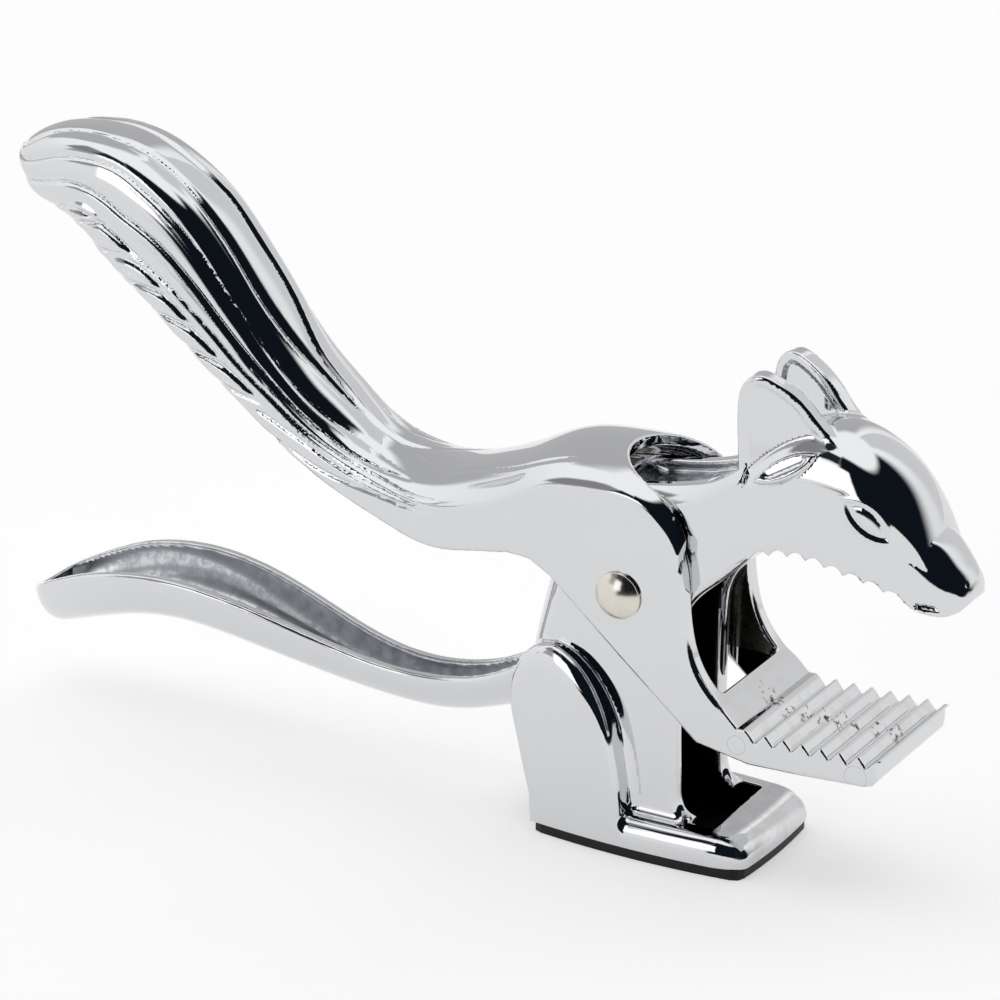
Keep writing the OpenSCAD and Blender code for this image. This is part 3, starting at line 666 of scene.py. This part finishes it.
class Body:
    """Body casting."""

    def __init__(self, step=0.5):
        top = curve(NECK_TOP, 160)
        under = curve(NECK_UNDER, 120)
        self.torso = outline_field(np.vstack([top, under, [[20, 5], [-27, 5]]]), step)
        self.hollow = outline_field(HOLLOW, step)
        self.channel = outline_field(CHANNEL, step)
        self.ear = outline_field(curve(EAR + [EAR[0]], 200)[:-1], step)
        self.thigh = outline_field(curve(THIGH, 240), step)
        self.flat = outline_field(curve(THIGH_FLAT, 240), step)
        self.shoulder = by_x(SHOULDERS)
        self.head = by_x(HEAD)
        self.handle = by_x(HANDLE)
        self.tips = by_x(TIPS)
        self.snout = by_x(SNOUT)

    def torso_neck(self, x, y, z):
        edge = 1.75 + 6.0 * (1 - ease(x, -20, -9))  # rounder behind
        out = rmax(self.torso(x, z), np.abs(y) - TORSO_HW, edge)
        side, crown = self.shoulder(np.clip(x, SHOULDERS[0][0], SHOULDERS[-1][0]))
        return rmax(out, arch(y, z, TORSO_HW * 1.03, side, crown - side), 0.3)

    def teeth(self, x):
        """Scalloped lower edge of the upper jaw."""
        (tip,) = self.tips(np.clip(x, TIPS[0][0], TIPS[-1][0]))
        c = np.abs(np.cos(np.pi * (x - 48.4) / PITCH))
        return tip + 1.15 * np.sqrt(c * c + 0.001) ** 0.8 * ease(x, 17.5, 22)

    def skull(self, x, y, z):
        """Brow and snout, with the teeth below."""
        side, crown, share = self.head(np.clip(x, HEAD[0][0], HEAD[-1][0]))
        w = np.maximum(share, 0.05) * TORSO_HW
        brow = vault(y, z, w, side, np.maximum(crown - side, 0.4), 1.12, 16, 1.6)
        brow = np.maximum(brow, x - 54.6)
        chin, side, crown, share = self.snout(np.clip(x, 46, 61))
        w = np.maximum(share, 0.05) * TORSO_HW
        nose = vault(y, z, w, side, np.maximum(crown - side, 0.4), 1.2, 20, 0.6)
        nose = np.maximum(rmax(nose, x - 60.3, 0.9), 46 - x)
        low = np.where(x < TIPS[-1][0], self.teeth(x), chin)
        out = rmax(np.minimum(brow, nose), (low - z) * 0.8, 0.2)
        return np.maximum(out, 15 - x)

    def ears(self, x, y, z):
        """A plate on each side, splayed to the front and dished inside its rim on both faces."""
        a = np.abs(y)
        c, s = math.cos(EAR_SPLAY), math.sin(EAR_SPLAY)
        ox, oy = EAR_ROOT
        u = (x - ox) * c - (a - oy) * s
        n = (x - ox) * s + (a - oy) * c
        f = self.ear(ox + u, z)
        ear = rmax(f, np.abs(n + EAR_THICK / 2) - EAR_THICK / 2, 0.6)
        outer = ease(-f, 1.0, 2.6) * ease(z, 76, 87)
        ear = np.maximum(ear, (n + 0.6 * outer) * 0.9)
        inner = ease(-f, 1.4, 2.6)
        return np.maximum(ear, (0.6 * inner - EAR_THICK - n) * 0.9)

    def leaf(self, x, y, z):
        """Almond lying on the cheek at the foot of the ear."""
        a = np.abs(y)
        lx, ly, lz, lt, tilt = LEAF
        c, s = math.cos(tilt), math.sin(tilt)
        n = (a - ly) * c + (z - lz) * s
        v = -(a - ly) * s + (z - lz) * c
        c, s = math.cos(lt), math.sin(lt)
        u, v = (x - lx) * c + v * s, -(x - lx) * s + v * c
        d = np.hypot(u, np.abs(v) + LEAF_LOW) - LEAF_BOW
        groove = 0.3 * np.exp(-(v / 0.75) ** 2) * (1 - ease(np.abs(u), 3.2, 4.8))
        return rmax(d, np.abs(n + groove) - 1.2, 0.7)

    def trough(self, x, y, z):
        """Inside of the lower handle, without its ends, and the handle's sizes at x."""
        rim, low, w = self.handle(np.clip(x, *HANDLE_ENDS))
        depth = np.maximum(rim - low, 1.0)
        inner = arch(y, rim - z, np.maximum(w - HANDLE_WALL, 0.35 * w), 0,
                     np.maximum(depth - HANDLE_WALL, 0.3 * depth))
        return inner, rim, depth, w

    def rough_and_shade_at(self, x, y, z):
        """1 in the handle's trough and the gutter of the neck, 2 inside the body, 0 outside.
        body_chrome paints 2 near black as painted shade.
        """
        a = np.abs(y)
        trough = (self.trough(x, y, z)[0] < 0.2) & (x < -22) & (x > -137)
        gutter = np.maximum(self.channel(x, z), a - GUTTER_HW) < 0.15
        room = np.maximum(self.hollow(x, z), a - CAV_HW) < 0.2
        room &= self.torso(x, z) < -0.3
        return np.where(room, 2.0, np.where(trough | gutter, 1.0, 0.0))

    def lower_handle(self, x, y, z):
        inner, rim, depth, w = self.trough(x, y, z)
        out = rmax(arch(y, rim - z, np.maximum(w, 0.5), 0, depth), z - rim, HANDLE_RIM)
        out = np.maximum(out, HANDLE_ENDS[0] - x)
        inner = np.maximum(inner, np.maximum(TROUGH_ENDS[0] - x, x - TROUGH_ENDS[1]))
        return np.maximum(cut(out, inner, 0.7), x - HANDLE_ENDS[1])

    def foot(self, x, y, z):
        """Pillow with a long roll to the front and short ones along the sides."""
        a = np.abs(y)
        bow = FOOT_BOW * np.clip(a / 12.5, 0, 1) ** 2
        starts = (15 - bow, HW + bulge(x) - FOOT_ROLL[1], 2.4)
        q = [np.maximum((p - s) / r, 0) for p, s, r in zip((x, a, z), starts, FOOT_ROLL)]
        e = FOOT_POWER
        rho = sum(c ** e for c in q) ** (1 / e) + 1e-6
        g = np.sqrt(sum((c ** (e - 1) / r) ** 2 for c, r in zip(q, FOOT_ROLL)))
        g = g * rho ** (1 - e) + 1e-6
        out = np.where(rho > 0.05, (rho - 1) / g, -3)
        return rmax(np.maximum(out, FOOT_REAR - x), SOLE_TOP - z, 0.3)

    def pit(self, x, y, z):
        """Room in the foot, open to the sole and wider in front of the torso."""
        wide = CAV_HW + 3.1 * ease(x, 9.3, 9.9)
        sides = rmax(np.abs(y) - wide, x - 14.0, 0.8)
        return np.maximum(rmax(sides, -18 - x, 1.0), z - PIT_TOP)

    def thighs(self, x, y, z):
        """Haunches, with a round edge that runs from the outline to the flat part."""
        a = np.abs(y)
        side = a - HW - bulge(x)
        root = self.thigh(x, z)
        wide = np.clip(1.05 * np.clip(self.flat(x, z) - root, 0.9, 9), 1.3, 6.5)
        q1 = np.maximum((root + wide) / wide, 0)
        q2 = np.maximum((side + THIGH_ROLL) / THIGH_ROLL, 0)
        rho = np.sqrt(q1 * q1 + q2 * q2)
        g = np.sqrt((q1 / wide) ** 2 + (q2 / THIGH_ROLL) ** 2) + 1e-6
        edge = np.where(rho > 0.02, (rho - 1) * rho / g, -3)
        f = np.where(root + wide > 0, edge, side)
        return np.maximum(np.maximum(f, 9.0 - a), SOLE_TOP - z)

    def __call__(self, x, y, z):
        a = np.abs(y)
        trunk = rmin(self.torso_neck(x, y, z), self.lower_handle(x, y, z), 0.8)
        trunk = cut(trunk, rmax(self.hollow(x, z), a - CAV_HW, 1.2), 1.7)
        trunk = cut(trunk, rmax(self.channel(x, z), a - GUTTER_HW, 0.8), 0.8)
        head = rmin(self.skull(x, y, z), self.ears(x, y, z), 1.3)
        head = rmin(head, self.leaf(x, y, z), 0.3)
        low = rmin(self.thighs(x, y, z), self.foot(x, y, z), 1.2)
        low = np.maximum(low, a - HW - bulge(x))
        fillet = 0.35 + 1.4 * ease(x, -6, -2) * (1 - ease(z, 22, 30))  # wider before the thigh
        out = rmin(np.minimum(trunk, head), low, fillet)
        out = cut(out, self.pit(x, y, z), 0.35)
        near = np.abs(out) < 2
        out[near] -= self.face(x[near], a[near], z[near])
        return bored(out, x, z)

    def face(self, x, a, z):
        """Height of the small marks of the face over the plain skin."""
        # almond eye: a raised lid round a shallow dish, with a domed ball in it
        ex, ez, lean = EYE
        c, s = math.cos(lean), math.sin(lean)
        u, v = (x - ex) * c + (z - ez) * s, -(x - ex) * s + (z - ez) * c
        v = v - 0.35 * (1 - (u / EYE_LONG) ** 2)
        d = np.hypot(u, np.abs(v) + EYE_LOW) - EYE_BOW
        eye = 0.2 * np.exp(-((d + 0.1) / 0.5) ** 2) - 0.2 * np.exp(-((d + 1.05) / 0.42) ** 2)
        eye += 0.16 * ease(-d, 1.3, 2.6)
        eye *= ease(a, 6.8, 8.2) * (x > 34)
        d = np.sqrt((x - NOSTRIL[0]) ** 2 + (a - NOSTRIL[1]) ** 2 + (z - NOSTRIL[2]) ** 2)
        nostril = 0.45 * np.exp(-(d / 0.4) ** 2)
        lips = 59.3 - 0.17 * (x - 52) - 0.02 * (x - 55) ** 2
        mouth = 0.7 * np.exp(-((z - lips) / 0.35) ** 2) * ease(a, 4.5, 5.5)
        mouth *= ease(x, 51.4, 52.6) * (1 - ease(x, 55.0, 56.6))
        return eye - nostril - mouth


# ---- node helpers ----
DEGREES = 57.2958  # in a radian


class Tree:
    """Short way to build a node tree."""

    def __init__(self, owner):
        owner.use_nodes = True
        self.t = owner.node_tree
        self.t.nodes.clear()

    def new(self, kind, **settings):
        n = self.t.nodes.new(kind)
        for k, v in settings.items():
            setattr(n, k, v)
        return n

    def put(self, socket, value):
        if isinstance(value, bpy.types.NodeSocket):
            self.t.links.new(value, socket)
        else:
            socket.default_value = value

    def math(self, op, *args):
        n = self.new("ShaderNodeMath", operation=op)
        for s, v in zip(n.inputs, args):
            self.put(s, v)
        return n.outputs[0]

    def step(self, value, a, b, lo=0.0, hi=1.0):
        n = self.new("ShaderNodeMapRange", interpolation_type="SMOOTHSTEP")
        self.put(n.inputs["Value"], value)
        for k, v in (("From Min", a), ("From Max", b), ("To Min", lo), ("To Max", hi)):
            self.put(n.inputs[k], v)
        return n.outputs[0]

    def product(self, first, *others):
        for value in others:
            first = self.math("MULTIPLY", first, value)
        return first

    def length(self, a, b):
        return self.math("SQRT", self.math("ADD", self.product(a, a), self.product(b, b)))

    def band(self, value, a, b, c, d):
        """1 between b and c, 0 outside a and d."""
        return self.product(self.step(value, a, b), self.step(value, d, c))

    def split(self, vector):
        n = self.new("ShaderNodeSeparateXYZ")
        self.put(n.inputs[0], vector)
        return n.outputs

    def azimuth(self, x, y):
        """Degrees round the upright axis, from the side that faces -y towards +x."""
        turn = self.math("ARCTAN2", x, self.product(y, -1.0))
        return self.product(turn, DEGREES)

    def mix(self, fac, a, b):
        """Colour a where fac is 0, b where it is 1."""
        n = self.new("ShaderNodeMix", data_type="RGBA")
        self.put(n.inputs[0], fac)
        for socket, colour in ((n.inputs[6], a), (n.inputs[7], b)):
            self.put(socket, colour + (1,) if isinstance(colour, tuple) else colour)
        return n.outputs[2]

    def noise(self, vector, scale, detail=2.0, rough=0.5):
        n = self.new("ShaderNodeTexNoise")
        self.put(n.inputs["Vector"], vector)
        n.inputs["Scale"].default_value = scale
        n.inputs["Detail"].default_value = detail
        n.inputs["Roughness"].default_value = rough
        return n.outputs["Fac"]


# ---- studio: bright all round, one dark zone behind the camera with a softbox at its edge ----
# [azimuths and elevations where it begins, is full, is still full and ends; colour]. A later one
# covers those before it.
ZONES = [
    ((-176, -166, -118, -108), (-40, -35, 52, 64), (0.56, 0.56, 0.57)),  # grey wall, rear left
    ((-56, -48, -32, -28), (16, 21, 34, 38), (0.45, 0.45, 0.46)),  # grey strip, left
    ((146, 156, 190, 200), (-90, -89, 58, 66), (0.8, 0.8, 0.8)),  # pale wall, rear right
    ((-15, -10, 127, 143), (-30, -22, 58, 66), (0.006, 0.009, 0.014)),  # the dark zone
    ((-68, -60, -38, -32), (32, 37, 54, 60), (0.3, 0.3, 0.32)),  # grey over the strip
    ((-40, -34, -14, -8), (36, 39, 56, 60), (0.02, 0.023, 0.03)),  # dark, over the softbox
    ((-29, -27, -5, -3), (6, 9, 33, 36), (1.5, 1.5, 1.5)),  # softbox
]
SKY_TOP, SKY_LOW, SKY_HIGH = 65.0, 1.0, 1.2  # elevation and brightness of the white all round
FLOOR_HALF = 3.0
FLOOR_DARK = (-24, -8, 128, 150)  # azimuths at which the floor goes dark under the dark zone
FLOOR_PALE_TO, FLOOR_DARK_FROM, FLOOR_GLOW = 0.30, 0.75, 0.45


def surroundings():
    world = bpy.data.worlds.new("studio")
    bpy.context.scene.world = world
    t = Tree(world)
    x, y, z = t.split(t.new("ShaderNodeTexCoord").outputs["Generated"])
    az = t.azimuth(x, y)
    el = t.product(t.math("ARCSINE", z), DEGREES)
    level = t.step(el, 0.0, SKY_TOP, SKY_LOW, SKY_HIGH)
    white = t.new("ShaderNodeCombineXYZ")
    for socket in white.inputs:
        t.put(socket, level)
    colour = white.outputs[0]
    for azimuths, elevations, shade in ZONES:
        here = t.product(t.band(az, *azimuths), t.band(el, *elevations))
        colour = t.mix(here, colour, shade)
    back = t.new("ShaderNodeBackground")
    t.put(back.inputs["Color"], colour)
    back.inputs["Strength"].default_value = 1.0
    t.put(t.new("ShaderNodeOutputWorld").inputs[0], back.outputs[0])


def studio_floor():
    mesh = bpy.data.meshes.new("floor")
    s = FLOOR_HALF
    mesh.from_pydata([(-s, -s, 0), (s, -s, 0), (s, s, 0), (-s, s, 0)], [], [(0, 1, 2, 3)])
    floor = bpy.data.objects.new("floor", mesh)
    bpy.context.scene.collection.objects.link(floor)
    mat = bpy.data.materials.new("floor_white")
    t = Tree(mat)
    place = t.new("ShaderNodeNewGeometry").outputs["Position"]
    x, y, _ = t.split(place)
    out = t.step(t.length(x, y), FLOOR_PALE_TO, FLOOR_DARK_FROM)
    dark = t.product(t.band(t.azimuth(x, y), *FLOOR_DARK), out)
    pale = t.mix(t.noise(place, 30.0), (0.80, 0.80, 0.80), (0.82, 0.82, 0.82))
    diffuse = t.new("ShaderNodeBsdfDiffuse")
    t.put(diffuse.inputs["Color"], t.mix(dark, pale, (0.03, 0.03, 0.035)))
    glow = t.new("ShaderNodeEmission")
    glow.inputs["Color"].default_value = (1, 1, 1, 1)
    t.put(glow.inputs["Strength"], t.product(t.math("SUBTRACT", 1.0, dark), FLOOR_GLOW))
    add = t.new("ShaderNodeAddShader")
    t.put(add.inputs[0], diffuse.outputs[0])
    t.put(add.inputs[1], glow.outputs[0])
    t.put(t.new("ShaderNodeOutputMaterial").inputs[0], add.outputs[0])
    mesh.materials.append(mat)


# ---- materials ----
CHROME, POLISH = (0.69, 0.695, 0.71), 0.03
NICKEL = (0.72, 0.69, 0.62)


class Metal:
    """Plated metal whose colour and roughness change by place. Places are in millimetres."""

    def __init__(self, name, colour, rough, vary=0.02):
        self.mat = bpy.data.materials.new(name)
        t = self.t = Tree(self.mat)
        scale = t.new("ShaderNodeVectorMath", operation="SCALE")
        t.put(scale.inputs[0], t.new("ShaderNodeTexCoord").outputs["Object"])
        scale.inputs["Scale"].default_value = 1 / MM
        self.at = scale.outputs[0]
        self.x, self.y, self.z = t.split(self.at)
        self.a = t.math("ABSOLUTE", self.y)
        cloud = t.noise(self.at, 0.09, 3.0)
        self.colour = t.mix(cloud, tuple(v * (1 - vary) for v in colour), colour)
        self.rough = t.step(cloud, 0.3, 0.7, rough * 0.7, rough * 1.3)

    def kind(self):
        """What rough_and_shade_at said of the place."""
        return self.t.new("ShaderNodeAttribute", attribute_name="rough").outputs["Fac"]

    def room(self, x=None, a=None, z=None, soft=0.3):
        """1 inside the given ranges of x, |y| and z."""
        given = [(v, r) for v, r in ((self.x, x), (self.a, a), (self.z, z)) if r]
        return self.t.product(*(self.t.band(v, lo - soft, lo, hi, hi + soft)
                                for v, (lo, hi) in given))

    def paint(self, mask, colour, rough):
        """Covers what mask shows."""
        self.colour = self.t.mix(mask, self.colour, colour)
        n = self.t.new("ShaderNodeMix")
        self.t.put(n.inputs[0], mask)
        self.t.put(n.inputs[2], self.rough)
        self.t.put(n.inputs[3], rough)
        self.rough = n.outputs[0]

    def specks(self, scale, a, b):
        return self.t.step(self.t.noise(self.at, scale, 3.0, 0.6), a, b)

    def done(self):
        b = self.t.new("ShaderNodeBsdfPrincipled")
        self.t.put(b.inputs["Base Color"], self.colour)
        b.inputs["Metallic"].default_value = 1.0
        self.t.put(b.inputs["Roughness"], self.rough)
        out = self.t.new("ShaderNodeOutputMaterial")
        self.t.put(out.inputs[0], b.outputs[0])
        return self.mat


def body_chrome():
    m = Metal("body_chrome", CHROME, POLISH)
    t, kind = m.t, m.kind()
    cast = t.band(kind, 0.4, 0.6, 1.4, 1.6)
    m.paint(cast, (0.6, 0.61, 0.63), 0.16)
    m.paint(t.product(cast, m.specks(0.5, 0.4, 0.62), 0.75), (0.36, 0.38, 0.42), 0.28)
    m.paint(t.step(kind, 1.4, 1.6), (0.035, 0.034, 0.03), 0.35)  # unlit room in the torso
    # painted shade: near black over the pit in the foot under and in front of the torso; the box also
    # takes in the foot's rear wall behind the torso
    m.paint(m.room((-30, 14.1), (-1, 10.6), (1, 7.2), 0.2), (0.006, 0.006, 0.006), 0.6)
    deck = m.room((15, 24), (-1, 13), (2.6, 7.4), 1.2)  # worn patch on the foot's front
    m.paint(t.product(deck, m.specks(0.22, 0.44, 0.6), 0.6), (0.6, 0.6, 0.6), 0.22)
    return m.done()


# Grit near the middle of the plate: [x range, colour]
GRIT = [((29, 40), (0.2, 0.12, 0.05)), ((19, 46), (0.15, 0.15, 0.14))]
EJECTOR_RINGS = [(20.8, 27.5, 1.8), (44.6, 26.7, 2.2)]  # x, z and radius


def lever_chrome():
    m = Metal("lever_chrome", CHROME, POLISH)
    t = m.t
    cast = t.step(m.kind(), 0.4, 0.6)
    # painted shade together with the casting's own colour: the unpolished inside faces of the tail's
    # hollow, the slot and the cheeks go dark brown
    m.paint(cast, (0.16, 0.155, 0.13), 0.2)
    m.paint(t.product(cast, m.specks(0.3, 0.42, 0.6)), (0.09, 0.085, 0.07), 0.3)
    for along, colour in GRIT:
        here = m.room(along, (-1, 1.0), (26, 33), 2.0)
        m.paint(t.product(here, m.specks(0.8, 0.56, 0.6)), colour, 0.5)
    plate = m.room((13, 47), (-1, 13), (27, 34), 1.0)
    m.paint(t.product(plate, m.specks(0.3, 0.46, 0.62), 0.5), (0.62, 0.62, 0.61), 0.25)
    for x, z, r in EJECTOR_RINGS:
        d = t.length(t.math("SUBTRACT", m.x, x), t.math("SUBTRACT", m.z, z))
        ring = t.product(t.band(d, r - 0.16, r - 0.05, r + 0.05, r + 0.16), m.room(a=(14.0, 20)))
        m.paint(t.product(ring, 0.4), (0.42, 0.42, 0.42), 0.2)
    return m.done()


def black_rubber():
    mat = bpy.data.materials.new("sole_black")
    t = Tree(mat)
    place = t.new("ShaderNodeNewGeometry").outputs["Position"]
    b = t.new("ShaderNodeBsdfPrincipled")
    grain = t.noise(place, 400.0, 4.0)
    t.put(b.inputs["Base Color"], t.mix(grain, (0.004, 0.004, 0.004), (0.01, 0.01, 0.011)))
    b.inputs["Roughness"].default_value = 0.4
    b.inputs["Specular IOR Level"].default_value = 0.25
    t.put(t.new("ShaderNodeOutputMaterial").inputs[0], b.outputs[0])
    return mat


# ---- pieces ----
CELL_QUICK, CELL_LEVER, CELL_BODY = 0.8, 0.46, 0.52
# Corners of each grid. They keep its planes off the flat walls, which would come out ragged.
LEVER_BOX = (-143.03, -15.26, 22.1), (50, 15.2, 119)
BODY_BOX = (-143.03, -16.77, 1.03), (63, 16.7, 99)
NORMAL_INSET, NORMAL_STEP = 0.12, 0.03


def piece(name, shape, box, cell, mat):
    """Meshes shape with its own normal at each corner of each quad."""
    v, quads = contour(shape, *box, cell)
    n = corner_normals(shape, v, quads, NORMAL_INSET, NORMAL_STEP)
    mesh = bpy.data.meshes.new(name)
    mesh.from_pydata((v * MM).tolist(), [], quads.tolist())
    mesh.polygons.foreach_set("use_smooth", np.ones(len(quads), bool))
    mesh.normals_split_custom_set(n.tolist())
    kind = mesh.attributes.new("rough", "FLOAT", "POINT")
    kind.data.foreach_set("value", shape.rough_and_shade_at(*v.T))
    mesh.materials.append(mat)
    o = bpy.data.objects.new(name, mesh)
    bpy.context.scene.collection.objects.link(o)
    return o


body_metal, lever_metal = body_chrome(), lever_chrome()
nickel = Metal("rivet_nickel", NICKEL, 0.2, 0.05).done()
rubber = black_rubber()
surroundings()
studio_floor()

for name, mat in (("pivot_rivet", nickel), ("foot_sole", rubber)):
    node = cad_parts[name]
    node.data.materials.clear()
    node.data.materials.append(mat)

lever = piece("tail_lever_skin", Lever(), LEVER_BOX, CELL_LEVER, lever_metal)
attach(lever, "lever")
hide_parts("tail_lever")

body = piece("body_casting_skin", Body(), BODY_BOX, CELL_BODY, body_metal)
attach(body, "body")
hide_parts("body_casting")

# ---- camera ----
AZIMUTH, ELEVATION, AWAY = math.radians(30.05), math.radians(22.21), 0.92276
LOOK_AT = (-0.036478, 0.0, 0.058144)

cam = bpy.data.objects.new("camera", bpy.data.cameras.new("camera"))
cam.data.lens = 180.0
cam.data.sensor_width = 36.0
cam.data.clip_start = 0.05
cam.data.clip_end = 20.0
cam.location = (LOOK_AT[0] + AWAY * math.sin(AZIMUTH) * math.cos(ELEVATION),
                LOOK_AT[1] - AWAY * math.cos(AZIMUTH) * math.cos(ELEVATION),
                LOOK_AT[2] + AWAY * math.sin(ELEVATION))
cam.rotation_euler = (math.pi / 2 - ELEVATION, 0, AZIMUTH)
bpy.context.scene.collection.objects.link(cam)
bpy.context.scene.camera = cam
bpy.context.scene.view_settings.view_transform = "Standard"
